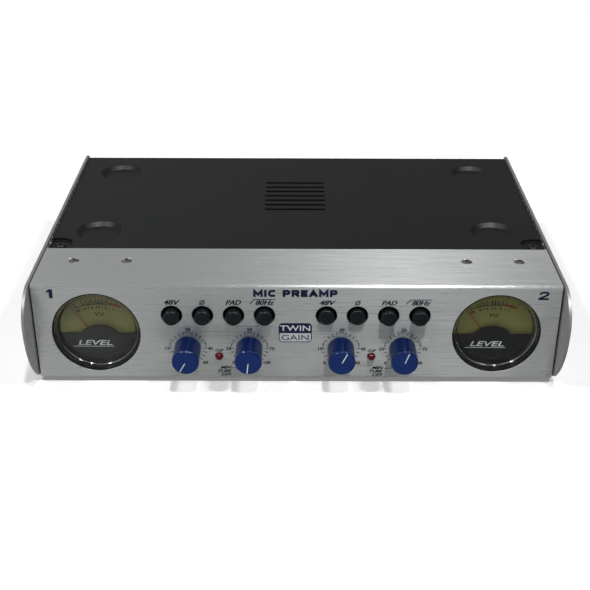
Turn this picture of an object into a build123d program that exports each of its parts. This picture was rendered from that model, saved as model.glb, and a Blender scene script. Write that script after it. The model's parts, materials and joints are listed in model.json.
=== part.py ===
from build123d import *
from math import cos, radians, sin
import os

# A half-rack, one-unit-high, two-channel valve microphone preamplifier.
# All sizes are millimetres. +X is right, +Y is back, +Z is up, seen from the front.
# The origin is the centre of the bounding box in X and Y, on the ground under the feet.

# ---- Overall case ------------------------------------------------------------
case_width = 216.0
case_depth = 143.5            # front panel face to the rear edge of the top cover
panel_height = 43.1
side_height = 42.9            # the side panels stand between the flange and the cover
ground_gap = 2.6              # ground to the lower edge of the panels
knob_reach = 12.4             # knob face ahead of the front panel
jack_reach = 3.1              # jack bushing behind the top cover's rear edge
face_y = -(case_depth + jack_reach - knob_reach) / 2
rear_y = face_y + case_depth
panel_z = ground_gap
panel_top = panel_z + panel_height

# ---- Sheet metal -------------------------------------------------------------
panel_sheet = 1.5
side_sheet = 1.2
steel_sheet = 1.0
side_gap = 0.7                # shadow gap between the front panel and each side panel
bend_radius = 1.4
lip_bend_radius = 0.6
flange_depth = 33.4           # top flange of the front panel, measured from its face
lip_depth = 8.0
panel_half = case_width / 2 - side_sheet - side_gap
wall_half = panel_half - 0.5  # outer face of the chassis side walls
panel_back = face_y + panel_sheet
cover_top = panel_top - panel_sheet
cover_under = cover_top - steel_sheet
floor_under = panel_z + panel_sheet
floor_top = floor_under + steel_sheet
rear_outer = rear_y - steel_sheet
rear_inner = rear_outer - 1.2

# ---- Side panels -------------------------------------------------------------
side_top = panel_z + side_height
side_rear = rear_y + 1.5
bulge = 12.2                  # how far the curved front edge stands ahead of the face
bulge_z = panel_z + 28.9
lower_arc_radius = 37.5
vent_hole = 2.0
vent_column_pitch = 5.2
vent_row_pitch = 1.5
vent_start = face_y + 33.0
vent_drop = 1.7               # top row of holes below the panel's upper edge
vent_columns = 16
vent_rows = 23

# ---- Top cover ---------------------------------------------------------------
recess_x = 87.0
recess_y = (face_y + 54.7, face_y + 122.9)
recess_rim_radius = 10.2
recess_floor_radius = 8.0
recess_depth = 1.8
slot_count = 7
slot_length = 28.4
slot_width = 2.2
slot_pitch = 5.25
slot_x = -0.7
first_slot_y = face_y + 78.3
cover_half = panel_half + 0.4
dimple_width = 9.6
dimple_depth = 1.3
dimple_y = (face_y + flange_depth - 6.0, face_y + flange_depth + 13.6)
cover_screw_x = 101.8
cover_screw_y = face_y + flange_depth + 7.2
rear_lip_height = 6.0
rear_lip_screw_x = (-62.0, 0.0, 66.0)

# ---- Front panel controls ----------------------------------------------------
meter_x = 81.4
meter_z = panel_z + 21.15
meter_hole_radius = 18.05
button_x = (-50.4, -37.9, -25.4, -12.9, 12.1, 24.6, 37.2, 49.8)
button_names = ("button_1_phantom", "button_1_phase", "button_1_pad", "button_1_low_cut",
                "button_2_phantom", "button_2_phase", "button_2_pad", "button_2_low_cut")
latched_names = ("button_2_phantom", "button_2_phase")
button_z = panel_z + 29.5
button_hole_radius = 4.35
button_radius = 3.15
button_reach = 3.3
latched_travel = 1.45
full_travel = 2.0
knob_x = (-44.45, -19.25, 18.2, 43.4)
knob_names = ("gain_1", "drive_1", "gain_2", "drive_2")
knob_angle = (-150.0, -173.0, 27.0, 20.0)
knob_z = panel_z + 14.4
knob_radius = 5.5
knob_rim_radius = 1.1
pointer_half_width = 0.22
knob_gap = 0.5
led_x = (-31.7, 30.85)
led_z = panel_z + 10.3
led_radius = 1.6

# ---- Behind the front panel --------------------------------------------------
bracket_y = panel_back + 4.0
bracket_sheet = 1.2
bracket_back = bracket_y + bracket_sheet
bracket_half = 60.0
shaft_radius = 3.0
running_gap = 0.05
pot_radius = 8.0
pot_depth = 9.0
bushing_radius = 3.5
board_sheet = 1.6
front_board_y = bracket_back + 10.0
stem_radius = 1.45

# ---- Meters ------------------------------------------------------------------
housing_radius = 18.45
housing_inner = 17.5
housing_depth = 22.5
lens_y = face_y + 2.7
lens_thickness = 1.5
lens_rim = 1.8                # height of the window's raised rim
lens_rim_thickness = 0.9
lens_hollow_radius = 1.6
shroud_y = face_y + 7.0
dial_y = face_y + 10.0
needle_y = face_y + 9.0
pivot_drop = 9.2              # needle pivot below the meter's centre
needle_length = 20.7
needle_angle = -35.7          # resting needle, clockwise from straight up
staff_radius = 0.6

# ---- Main board --------------------------------------------------------------
board_z = floor_top + 4.0
board_top = board_z + board_sheet
board_half = 99.0
board_front = face_y + 23.6
board_back = rear_inner - 2.0
tube_x = 0.0
tube_z = 24.5
tube_front = -9.0
tube_length = 48.0
tube_radius = 10.3

# ---- Rear connectors ---------------------------------------------------------
connector_z = panel_z + 20.4
plate_width = 26.0
plate_height = 28.0
plate_thickness = 1.6
input_x = (4.0, 84.0)
balanced_x = (-26.0, 54.0)
line_x = (-50.0, 30.0)
switch_x = -73.0
inlet_x = -93.0
plug_bore = 3.3
rear_hole = 11.3


# ---- Small helpers -----------------------------------------------------------
def slab(x, y, z):
    """A box between three (low, high) pairs."""
    centre = Pos((x[0] + x[1]) / 2, (y[0] + y[1]) / 2, (z[0] + z[1]) / 2)
    return centre * Box(x[1] - x[0], y[1] - y[0], z[1] - z[0])


def rod(x, z, y, radius):
    """A cylinder along Y between the pair y."""
    return Pos(x, (y[0] + y[1]) / 2, z) * Rot(90, 0, 0) * Cylinder(radius, y[1] - y[0])


def post(x, y, z, radius):
    """A cylinder along Z between the pair z."""
    return Pos(x, y, (z[0] + z[1]) / 2) * Cylinder(radius, z[1] - z[0])


def axle(y, z, x, radius):
    """A cylinder along X between the pair x."""
    return Pos((x[0] + x[1]) / 2, y, z) * Rot(0, 90, 0) * Cylinder(radius, x[1] - x[0])


def pipe(x, z, y, outer, inner):
    """A tube along Y."""
    return rod(x, z, y, outer) - rod(x, z, (y[0] - 1, y[1] + 1), inner)


def plate(face, x):
    """A face drawn in Y and Z, made solid between the pair x."""
    return extrude(Plane.YZ.offset(x[0]) * face, x[1] - x[0])


def both_sides(values):
    """Each value and its negative."""
    return [sign * value for sign in (-1, 1) for value in values]


def ends(solid, axis, side):
    """The edges of a solid's outermost face along an axis; side is -1 or 0."""
    return solid.faces().sort_by(axis)[side].edges()


def save(node, *solids):
    """Write one node; a group of pieces stays a group of separate solids."""
    shape = solids[0] if len(solids) == 1 else Compound(list(solids))
    export_step(shape, f"parts/{node}.step")


# ---- Case --------------------------------------------------------------------
def flange_screw_places():
    return [(x, face_y + 22.0) for x in both_sides((70.6, 92.5))]


def lip_screw_places():
    return [(x, panel_back + 2.6) for x in (-68.0, 0.0, 68.0)]


def make_front_panel():
    """Brushed sheet: a vertical face bent back into a deep top flange and a short lower lip."""
    width = (-panel_half, panel_half)
    outer = slab(width, (face_y, face_y + flange_depth), (panel_z, panel_top))
    upper_bend = outer.edges().filter_by(Axis.X).group_by(Axis.Z)[-1].sort_by(Axis.Y)[0]
    outer = fillet(upper_bend, bend_radius)
    lower_bend = outer.edges().filter_by(Axis.X).group_by(Axis.Z)[0].sort_by(Axis.Y)[0]
    outer = fillet(lower_bend, lip_bend_radius)
    inner = slab((-case_width, case_width), (panel_back, rear_y),
                 (floor_under, cover_top))
    short_lip = slab((-case_width, case_width), (panel_back + lip_depth, rear_y),
                     (panel_z - 1, floor_under + 1))
    panel = outer - inner - short_lip
    through = (face_y - 1, panel_back + 1)
    holes = [rod(x, meter_z, through, meter_hole_radius) for x in (-meter_x, meter_x)]
    holes += [rod(x, button_z, through, button_hole_radius) for x in button_x]
    holes += [rod(x, knob_z, through, shaft_radius + 0.6) for x in knob_x]
    holes += [rod(x, led_z, through, led_radius + 0.15) for x in led_x]
    holes += [post(x, y, (cover_top - 1, panel_top + 1), 1.4)
              for x, y in flange_screw_places()]
    holes += [countersink(x, y, panel_top, 1) for x, y in flange_screw_places()]
    holes += [post(x, y, (panel_z - 1, floor_under + 1), 1.4)
              for x, y in lip_screw_places()]
    holes += [countersink(x, y, panel_z, -1) for x, y in lip_screw_places()]
    return panel - holes


def countersink(x, y, z, up):
    """The conical seat of a small countersunk head, opening at z; up is 1 or -1."""
    depth = 1.1
    cone = Cone(1.3, 2.4, depth) if up > 0 else Cone(2.4, 1.3, depth)
    return Pos(x, y, z - up * depth / 2) * cone


def oval_head_screw(x, y, z, up, length):
    """A countersunk screw with a low domed top and a hexagonal socket; its rim is at z."""
    rim_radius = 2.15
    rise = 0.65
    depth = 1.0
    dome_radius = (rim_radius**2 + rise**2) / (2 * rise)
    dome = Pos(0, 0, rise - dome_radius) * Sphere(dome_radius) & post(0, 0, (0, rise), rim_radius)
    cone = Pos(0, 0, -depth / 2) * Cone(1.2, rim_radius, depth)
    shank = post(0, 0, (-length, -depth / 2), 1.2)
    socket = Pos(0, 0, rise) * extrude(RegularPolygon(0.75, 6), 1.0, both=True)
    return Pos(x, y, z) * Rot(0 if up > 0 else 180, 0, 0) * (dome + cone + shank - socket)


def side_outline():
    """The side panel's outline in the YZ plane, with its bulging front edge."""
    upper_radius = side_top - bulge_z
    front = face_y - bulge
    lower_centre = front + lower_arc_radius
    drop = bulge_z - panel_z
    foot = lower_centre - (lower_arc_radius**2 - drop**2) ** 0.5
    upper = RadiusArc((front, bulge_z), (front + upper_radius, side_top), upper_radius)
    lower = RadiusArc((foot, panel_z), (front, bulge_z), lower_arc_radius)
    rest = Polyline((front + upper_radius, side_top), (side_rear, side_top),
                    (side_rear, panel_z), (foot, panel_z))
    face = make_face(upper + lower + rest)
    corners = face.vertices().sort_by(Axis.X)[-2:]
    face = fillet(corners, 3.0)
    toe = [v for v in face.vertices() if abs(v.X - foot) < 0.1 and v.Y < panel_z + 0.1]
    return fillet(toe, 1.5)


def vent_places():
    """Staggered hole centres (y, z), row by row from just under the upper edge."""
    places = []
    for row in range(vent_rows):
        shift = vent_column_pitch / 2 if row % 2 else 0.0
        for column in range(vent_columns - row % 2):
            y = vent_start + column * vent_column_pitch + shift
            places.append((y, side_top - vent_drop - row * vent_row_pitch))
    return places


def side_screw_places():
    return [(y, z) for y in (face_y + 18.0, face_y + 128.0)
            for z in (panel_z + 9.0, panel_z + 34.0)]


def make_side_panel(sign):
    """Thin aluminium cheek; sign is -1 for the left and 1 for the right."""
    outline = side_outline()
    holes = [Pos(y, z) * Circle(vent_hole / 2) for y, z in vent_places()]
    holes += [Pos(y, z) * Circle(1.7) for y, z in side_screw_places()]
    flat = outline - holes
    return plate(flat, sorted((sign * case_width / 2, sign * (case_width / 2 - side_sheet))))


def make_chassis():
    """Folded steel tray: a floor, two walls, and tabs under the cover's front corners."""
    front = panel_back + 0.2
    floor = slab((-wall_half, wall_half), (front, rear_inner), (floor_under, floor_top))
    solids = floor
    for sign in (-1, 1):
        wall_x = sorted((sign * wall_half, sign * (wall_half - steel_sheet)))
        solids += slab(wall_x, (front, rear_inner), (floor_under, cover_under))
        tab_x = sorted((sign * wall_half, sign * (wall_half - dimple_width - 3)))
        tab_y = (dimple_y[0] + 0.6, dimple_y[1] + 0.4)
        tab_z = (cover_under - dimple_depth - steel_sheet, cover_under - dimple_depth)
        solids += slab(tab_x, tab_y, tab_z)
    cuts = []
    for sign in (-1, 1):
        notch_x = sorted((sign * (wall_half + 1), sign * (wall_half - dimple_width - 4)))
        notch_y = (dimple_y[0] - steel_sheet - 0.3, dimple_y[1] + steel_sheet + 0.3)
        cuts.append(slab(notch_x, notch_y, (cover_under - dimple_depth, cover_top)))
        cuts.append(post(sign * cover_screw_x, cover_screw_y, (cover_under - 4, cover_top), 1.25))
        wall_x = sorted((sign * (wall_half + 1), sign * (wall_half - 2)))
        for index in range(8):
            y = vent_start + 4 + index * 9
            cuts.append(slab(wall_x, (y, y + 3), (panel_z + 12, panel_z + 34)))
        cuts += [axle(y, z, wall_x, 1.7) for y, z in side_screw_places()]
    cuts += [post(x, y, (floor_under - 1, floor_top + 1), 1.4) for x, y in lip_screw_places()]
    cuts += [post(x, y, (floor_under - 1, floor_top + 1), 1.6) for x, y in standoff_places()]
    return solids - cuts


def make_rear_panel():
    """Flat steel plate with a cut-out for each connector and the power switch."""
    plate = slab((-wall_half, wall_half), (rear_inner, rear_outer), (floor_under, cover_under))
    through = (rear_inner - 1, rear_outer + 1)
    cuts = [rod(x, connector_z, through, rear_hole) for x in input_x + balanced_x]
    cuts += [rod(x, connector_z, through, 4.9) for x in line_x]
    cuts.append(rod(inlet_x, connector_z, through, 4.2))
    cuts.append(slab((switch_x - 6.6, switch_x + 6.6), through,
                     (connector_z - 9.6, connector_z + 9.6)))
    cuts += [rod(x, z, through, 1.3) for x, z in plate_screw_places()]
    cuts += [rod(x, cover_top - 3.6, through, 1.3) for x in rear_lip_screw_x]
    return plate - cuts


def recess_dish(x, y):
    """The pressed-down dish of one stacking recess, one sheet thick."""
    slope = steel_sheet * 0.45
    section = Polyline((0, -recess_depth), (recess_floor_radius, -recess_depth),
                       (recess_rim_radius, 0), (recess_rim_radius, -steel_sheet),
                       (recess_floor_radius + slope, -recess_depth - steel_sheet),
                       (0, -recess_depth - steel_sheet), close=True)
    dish = revolve(Plane.XZ * make_face(section), Axis.Z)
    return Pos(x, y, cover_top) * dish


def make_top_cover():
    """Black steel lid with four stacking recesses, vent slots and two screw dimples."""
    width = (-cover_half, cover_half)
    lid = slab(width, (panel_back + 0.6, rear_y), (cover_under, cover_top))
    lid += slab(width, (rear_outer, rear_y), (cover_top - rear_lip_height, cover_top))
    lid = fillet(lid.edges().filter_by(Axis.X).group_by(Axis.Y)[-1].sort_by(Axis.Z)[-1], 0.8)
    places = [(x, y) for x in (-recess_x, recess_x) for y in recess_y]
    lid -= [post(x, y, (cover_under - 1, cover_top + 1), recess_rim_radius) for x, y in places]
    lid += [recess_dish(x, y) for x, y in places]
    rims = [e for e in lid.edges().filter_by(GeomType.CIRCLE)
            if abs(e.radius - recess_rim_radius) < 0.01 and abs(e.center().Z - cover_top) < 0.01]
    lid = fillet(rims, 1.1)
    for sign in (-1, 1):
        hollow_x = sorted((sign * (cover_half + 1), sign * (cover_half - dimple_width)))
        shell_x = sorted((sign * cover_half, sign * (cover_half - dimple_width - steel_sheet)))
        shell_y = (dimple_y[0] - steel_sheet, dimple_y[1] + steel_sheet)
        lid += slab(shell_x, shell_y, (cover_under - dimple_depth, cover_top))
        hollow = slab(hollow_x, dimple_y, (cover_top - dimple_depth, cover_top + 1))
        inner_x = sign * (cover_half - dimple_width)
        corner = [e for e in hollow.edges().filter_by(Axis.Z)
                  if abs(e.center().X - inner_x) < 0.1 and e.center().Y > cover_screw_y]
        lid -= fillet(corner, 5.0)
    cuts = [Pos(slot_x, first_slot_y + i * slot_pitch, cover_under) * extrude(
        SlotOverall(slot_length, slot_width), 3, both=True) for i in range(slot_count)]
    cuts += [post(x, y, (cover_under - 1, cover_top + 1), 1.5) for x, y in flange_screw_places()]
    cuts += [post(sign * cover_screw_x, cover_screw_y, (cover_under - 4, cover_top + 1), 1.6)
             for sign in (-1, 1)]
    cuts += [rod(x, cover_top - 3.6, (rear_outer - 1, rear_y + 1), 1.6) for x in rear_lip_screw_x]
    return lid - cuts


def make_feet():
    """Moulded rubber feet under the stacking recesses."""
    feet = []
    for x in (-recess_x, recess_x):
        for y in recess_y:
            foot = post(x, y, (0, floor_under), 6.6)
            feet.append(fillet(ends(foot, Axis.Z, 0), 0.6))
    return feet


def pan_screw_down(x, y, z, length):
    """A low round-headed screw standing on z and pointing down, with a cross recess."""
    head = fillet(ends(post(x, y, (z, z + 1.1), 2.25), Axis.Z, -1), 0.5)
    shank = post(x, y, (z - length, z), 1.2)
    cross = Box(2.4, 0.5, 1.4) + Box(0.5, 2.4, 1.4)
    return head + shank - Pos(x, y, z + 1.1) * cross


def pan_screw_rear(x, z, y, length):
    """The same screw pointing forward out of a surface at y that faces back."""
    return Pos(x, y, z) * Rot(-90, 0, 0) * pan_screw_down(0, 0, 0, length)


def make_cover_screws():
    seat = cover_top - dimple_depth
    front = [pan_screw_down(sign * cover_screw_x, cover_screw_y, seat, 4.0) for sign in (-1, 1)]
    return front + [pan_screw_rear(x, cover_top - 3.6, rear_y, 4.0) for x in rear_lip_screw_x]


def make_panel_screws():
    top = [oval_head_screw(x, y, panel_top, 1, 4.6) for x, y in flange_screw_places()]
    return top + [oval_head_screw(x, y, panel_z, -1, 4.0) for x, y in lip_screw_places()]


def make_side_screws():
    """Low dome-headed screws through the side panels into the chassis walls."""
    screws = []
    for sign, turn in ((1, 90), (-1, -90)):
        for y, z in side_screw_places():
            seat = sign * (case_width / 2 - side_sheet)
            dome = post(0, 0, (0, side_sheet), 1.65)
            shank = post(0, 0, (-5.0, 0), 1.2)
            slot = Pos(0, 0, side_sheet) * extrude(RegularPolygon(0.9, 6), 0.8, both=True)
            screws.append(Pos(seat, y, z) * Rot(0, turn, 0) * (dome + shank - slot))
    return screws


def make_side_spacers():
    """Washers that hold each side panel off the chassis wall."""
    spacers = []
    for sign in (-1, 1):
        x = sorted((sign * wall_half, sign * (case_width / 2 - side_sheet)))
        for y, z in side_screw_places():
            outer = axle(y, z, x, 3.4)
            spacers.append(outer - axle(y, z, (x[0] - 1, x[1] + 1), 1.7))
    return spacers


def make_clinch_nuts():
    """Press-in nuts: under the cover for the flange and inside the walls for the sides."""
    nuts = []
    for x, y in flange_screw_places():
        nut = post(x, y, (cover_under - 2.0, cover_under), 3.0)
        nuts.append(nut - post(x, y, (cover_under - 3, cover_top), 1.25))
    for sign in (-1, 1):
        inside = sign * (wall_half - steel_sheet)
        x = sorted((inside, inside - sign * 2.0))
        for y, z in side_screw_places():
            nuts.append(axle(y, z, x, 3.0) - axle(y, z, (x[0] - 1, x[1] + 1), 1.25))
    return nuts


# ---- Controls ----------------------------------------------------------------
def make_bracket():
    """Steel bracket behind the front panel that carries the potentiometers."""
    plate = slab((-bracket_half, bracket_half), (bracket_y, bracket_back), (floor_top, 41.0))
    foot = slab((-bracket_half, bracket_half), (bracket_y, bracket_back + 7.5),
                (floor_top, floor_top + bracket_sheet))
    through = (bracket_y - 1, bracket_back + 1)
    cuts = [rod(x, button_z, through, button_radius + 0.5) for x in button_x]
    cuts += [rod(x, knob_z, through, bushing_radius + 0.1) for x in knob_x]
    cuts += [rod(x, led_z, through, led_radius + 0.4) for x in led_x]
    return plate + foot - cuts


def make_potentiometer(x):
    """Round can with a threaded bushing, bored for its shaft."""
    can = fillet(ends(rod(x, knob_z, (bracket_back, bracket_back + pot_depth), pot_radius),
                      Axis.Y, -1), 0.6)
    bushing = rod(x, knob_z, (panel_back + 0.4, bracket_back), bushing_radius)
    bore = rod(x, knob_z, (panel_back, bracket_back + pot_depth - 1.6),
               shaft_radius + running_gap)
    tag = slab((x - 6, x + 6), (bracket_back + 1, bracket_back + 3.2), (knob_z - 9.6, knob_z - 6))
    return can + bushing + tag - bore


def make_potentiometer_nut(x):
    turn = Pos(x, bracket_y - 2.0, knob_z) * Rot(-90, 0, 0)
    nut = turn * extrude(RegularPolygon(5.5, 6), 2.0)
    return nut - rod(x, knob_z, (bracket_y - 3, bracket_y + 1), bushing_radius + 0.05)


def make_shaft(x):
    """Plain metal shaft from inside the potentiometer to inside the knob."""
    y = (face_y - 8.7, bracket_back + pot_depth - 1.9)
    return rod(x, knob_z, y, shaft_radius)


def make_knob(x, angle):
    """Smooth knob with a rounded face edge and a groove for its pointer."""
    y = (face_y - knob_reach, face_y - knob_gap)
    body = rod(0, 0, y, knob_radius)
    body = fillet(ends(body, Axis.Y, 0), knob_rim_radius)
    body = chamfer(ends(body, Axis.Y, -1), 0.25)
    body -= rod(0, 0, (face_y - 9.0, face_y), shaft_radius + 0.02)
    groove = slab((-pointer_half_width, pointer_half_width), (y[0] - 1, y[0] + 0.25),
                  (0.2, knob_radius + 1))
    body -= groove
    return Pos(x, 0, knob_z) * Rot(0, angle, 0) * body


def make_button(x, pushed):
    """Round cap with a domed face on a thin stem that runs in its switch."""
    front = face_y - button_reach + pushed
    cap_end = front + 8.0
    cap = rod(x, button_z, (front, cap_end), button_radius)
    cap = fillet(ends(cap, Axis.Y, 0), 0.6)
    stem = rod(x, button_z, (cap_end - 0.5, cap_end + 7.4), stem_radius)
    return cap + stem


def make_push_switch(x):
    """Square latching switch body on the front board."""
    y = (bracket_back + 1.0, front_board_y)
    body = slab((x - 4, x + 4), y, (button_z - 4, button_z + 4))
    return body - rod(x, button_z, (y[0] - 1, y[1] - 2.1), stem_radius + running_gap)


def make_led(x):
    """Clear red dome with a flange, standing on the front board on two leads."""
    dome_y = face_y - 0.2
    dome = rod(x, led_z, (dome_y, dome_y + 5.0), led_radius)
    tip = Pos(x, dome_y, led_z) * Sphere(led_radius)
    collar = rod(x, led_z, (dome_y + 2.2, dome_y + 3.2), led_radius + 0.35)
    leads = [slab((x + s - 0.25, x + s + 0.25), (dome_y + 4.8, front_board_y),
                  (led_z - 0.25, led_z + 0.25)) for s in (-0.85, 0.85)]
    return dome + tip + collar + leads


def make_front_board():
    """Circuit board standing behind the switches and potentiometers."""
    board = slab((-58, 58), (front_board_y, front_board_y + board_sheet), (9.4, 40.4))
    solder = [rod(x, 12.6, (front_board_y + board_sheet, front_board_y + board_sheet + 2), 0.9)
              for x in (-10, -5, 5, 10)]
    return fillet(board.edges().filter_by(Axis.Y), 1.5) + solder


# ---- Meters ------------------------------------------------------------------
def make_meter_housing(x):
    """Round black can closed at the back; its thin neck lines the hole in the panel."""
    y = (panel_back + 0.05, face_y + housing_depth)
    can = rod(x, meter_z, y, housing_radius)
    can = fillet(ends(can, Axis.Y, -1), 1.0)
    can += rod(x, meter_z, (face_y + 0.15, y[0] + 1), meter_hole_radius - 0.05)
    terminals = [rod(x + s, meter_z, (y[1] - 0.5, y[1] + 4), 1.0) for s in (-6, 6)]
    return can - rod(x, meter_z, (face_y - 1, y[1] - 1.5), housing_inner) + terminals


def make_meter_lens(x):
    """Clear window with a raised rim that runs into it in a hollow curve."""
    radius = housing_inner - 0.05
    rim_y = lens_y - lens_rim
    disc = rod(x, meter_z, (rim_y, lens_y + lens_thickness), radius)
    disc = fillet(ends(disc, Axis.Y, 0), 0.3)
    hollow = rod(x, meter_z, (rim_y - 1, lens_y), radius - lens_rim_thickness)
    return disc - fillet(ends(hollow, Axis.Y, -1), lens_hollow_radius)


def make_meter_dial(x):
    """Thin printed plate with a hole for the needle's staff."""
    plate = rod(x, meter_z, (dial_y, dial_y + 0.5), housing_inner - 0.05)
    return plate - rod(x, meter_z - pivot_drop, (dial_y - 1, dial_y + 2), 2.4)


def make_meter_shroud(x):
    """Black plate over the lower dial, with a round hump that hides the pivot."""
    y = (shroud_y, shroud_y + 1.2)
    hump_radius = 10.2
    disc = rod(x, meter_z, y, housing_inner - 0.1)
    band = slab((x - 20, x + 20), (y[0] - 1, y[1] + 1), (meter_z - 20, meter_z - 4.3))
    hump = rod(x, meter_z - 0.5 - hump_radius, y, hump_radius)
    return disc & (band + hump)


def make_meter_movement(x):
    """Magnet block and bearing bridge that carry the needle's staff."""
    pivot_z = meter_z - pivot_drop
    block = rod(x, meter_z, (dial_y + 5.5, dial_y + 10.5), 12.0)
    bridge = slab((x - 10, x + 10), (dial_y + 2.5, dial_y + 5.5), (pivot_z - 1.6, pivot_z + 2.2))
    bore = rod(x, pivot_z, (dial_y, dial_y + 7.0), staff_radius + running_gap)
    return block + bridge - bore


def make_needle(x):
    """Thin needle with its hub, balancing tail and staff, at its resting angle."""
    blade_y = (needle_y, needle_y + 0.25)
    blade = slab((-0.25, 0.25), blade_y, (0, needle_length))
    tail = slab((-1.0, 1.0), (needle_y, needle_y + 0.6), (-5.0, 0))
    hub = rod(0, 0, (needle_y - 0.3, needle_y + 0.7), 1.7)
    staff = rod(0, 0, (needle_y, dial_y + 6.5), staff_radius)
    needle = blade + tail + hub + staff
    return Pos(x, 0, meter_z - pivot_drop) * Rot(0, needle_angle, 0) * needle


# ---- Inside the case ---------------------------------------------------------
def standoff_places():
    return [(x, y) for x in (-94.0, 94.0) for y in (-36.0, 36.0)] + [(-36.0, 0.0), (36.0, 0.0)]


def make_main_board():
    board = slab((-board_half, board_half), (board_front, board_back), (board_z, board_top))
    board = fillet(board.edges().filter_by(Axis.Z), 2.0)
    return board - [post(x, y, (board_z - 1, board_top + 1), 1.6) for x, y in standoff_places()]


def make_standoffs():
    return [post(x, y, (floor_top, board_z), 2.8) - post(x, y, (0, board_top), 1.3)
            for x, y in standoff_places()]


def make_tube_glass():
    """Glass envelope of the double triode, lying along Y, hollow, with a sealed tip."""
    wall = 0.9
    dome_y = tube_front + tube_length - tube_radius
    shape = rod(tube_x, tube_z, (tube_front, dome_y), tube_radius)
    shape += Pos(tube_x, dome_y, tube_z) * Sphere(tube_radius)
    shape += Pos(tube_x, dome_y + tube_radius, tube_z) * Rot(-90, 0, 0) * Cone(1.8, 0.6, 3.0)
    shape -= rod(tube_x, tube_z, (tube_front + 2.0, dome_y), tube_radius - wall)
    return shape - Pos(tube_x, dome_y, tube_z) * Sphere(tube_radius - wall)


def make_tube_electrodes():
    """Two anode boxes between mica discs, inside the glass."""
    start = tube_front + 6.0
    discs = [rod(tube_x, tube_z, (start + d, start + d + 0.6), 8.2) for d in (0, 22)]
    anodes = []
    for side in (-1, 1):
        x = sorted((tube_x + side * 0.8, tube_x + side * 6.4))
        anodes.append(slab(x, (start + 0.3, start + 22.3), (tube_z - 4.2, tube_z + 4.2)))
    getter = rod(tube_x, tube_z, (start + 22.3, start + 26), 0.4)
    ring = pipe(tube_x, tube_z, (start + 25.6, start + 26.6), 4.2, 3.4)
    bar = slab((tube_x - 3.9, tube_x + 3.9), (start + 25.7, start + 26.3),
               (tube_z - 0.4, tube_z + 0.4))
    return Part() + discs + anodes + getter + ring + bar


def make_tube_socket():
    """Nine-pin ceramic socket on a small foot that stands on the main board."""
    y = (tube_front - 9.5, tube_front - 0.4)
    body = rod(tube_x, tube_z, y, 10.6)
    foot = slab((tube_x - 9, tube_x + 9), (y[0] + 2, y[1] - 2), (board_top, tube_z - 4))
    pins = []
    for index in range(9):
        angle = radians(126 - 36 * index)
        x = tube_x + 5.9 * cos(angle)
        pins.append(rod(x, tube_z + 5.9 * sin(angle), (y[0] - 1, y[1] + 1), 0.8))
    return body + foot - pins


def make_capacitors():
    """Upright electrolytic capacitors on the main board."""
    cans = []
    for x, y, radius, height in ((-86, -20, 6.5, 21), (-86, 0, 6.5, 21), (-70, -20, 6.5, 21),
                                 (-70, 0, 6.5, 21), (60, -24, 5, 14), (74, -24, 5, 14),
                                 (88, -24, 5, 14), (60, 30, 5, 14), (-52, -28, 4, 11),
                                 (-40, -28, 4, 11), (28, -28, 4, 11), (40, -28, 4, 11)):
        can = post(x, y, (board_top, board_top + height), radius)
        cans.append(fillet(ends(can, Axis.Z, -1), 0.8))
    return cans


def make_chips():
    """Dual in-line amplifier chips in two rows."""
    chips = []
    for x in (-48, -30, 30, 48, 66, 84):
        for y in (-8, 14):
            if y > 0 or abs(x) > 32:
                chips.append(chamfer(ends(slab((x - 4.8, x + 4.8), (y - 3.2, y + 3.2),
                                               (board_top, board_top + 4)), Axis.Z, -1), 0.4))
    return chips


def make_heat_sink():
    """Finned aluminium extrusion standing on the main board."""
    base = slab((-90, -54), (24, 26), (board_top, board_top + 22))
    fins = [slab((x, x + 1.2), (26, 33), (board_top, board_top + 22))
            for x in (-90, -83.2, -76.4, -69.6, -62.8, -55.2)]
    return base + fins


def make_regulators():
    """Three flat power regulators bolted to the heat sink, with their legs."""
    parts = []
    for x in (-84, -72, -60):
        body = slab((x - 5, x + 5), (19.6, 24), (board_top + 6, board_top + 15))
        tab = slab((x - 5, x + 5), (22.7, 24), (board_top + 6, board_top + 21))
        legs = [slab((x + d - 0.4, x + d + 0.4), (21.4, 22.0), (board_top, board_top + 6.2))
                for d in (-2.54, 0, 2.54)]
        parts.append(body + tab + legs)
    return parts


def make_ribbon_cable():
    """Flat cable looped between the front board and the main board."""
    start = front_board_y + board_sheet
    path = Polyline((start, 14.0), (start + 5.0, 14.0), (start + 5.0, board_top),
                    (start + 6.0, board_top), (start + 6.0, 15.0), (start, 15.0), close=True)
    return plate(make_face(path), (-45.0, -20.0))


# ---- Rear connectors ---------------------------------------------------------
def plate_screw_places():
    """Two screws, on a diagonal, for each square connector plate."""
    places = []
    for x in input_x + balanced_x:
        places += [(x - 9.5, connector_z + 11.6), (x + 9.5, connector_z - 11.6)]
    return places


def connector_plate(x):
    plate = slab((x - plate_width / 2, x + plate_width / 2),
                 (rear_outer, rear_outer + plate_thickness),
                 (connector_z - plate_height / 2, connector_z + plate_height / 2))
    plate = fillet(plate.edges().filter_by(Axis.Y), 2.0)
    through = (rear_outer - 1, rear_outer + 4)
    holes = [rod(x + dx, connector_z + dz, through, 1.5) for dx, dz in ((-9.5, 11.6), (9.5, -11.6))]
    return plate - holes


def make_input_jack(x):
    """Combined microphone and line input: a ring groove and contacts around a phone jack."""
    face = rear_outer + plate_thickness
    body = rod(x, connector_z, (face - 34.0, rear_outer + 0.5), 11.0)
    groove = pipe(x, connector_z, (face - 9.5, face + 1), 9.6, 7.8)
    bore = rod(x, connector_z, (face - 31.0, face + 1), plug_bore)
    cuts = [groove, bore]
    for angle in (30, 150, 270):
        hole_x = x + 5.75 * cos(radians(angle))
        cuts.append(rod(hole_x, connector_z + 5.75 * sin(radians(angle)), (face - 8, face + 1), 1.2))
    return connector_plate(x) + body - cuts


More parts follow.
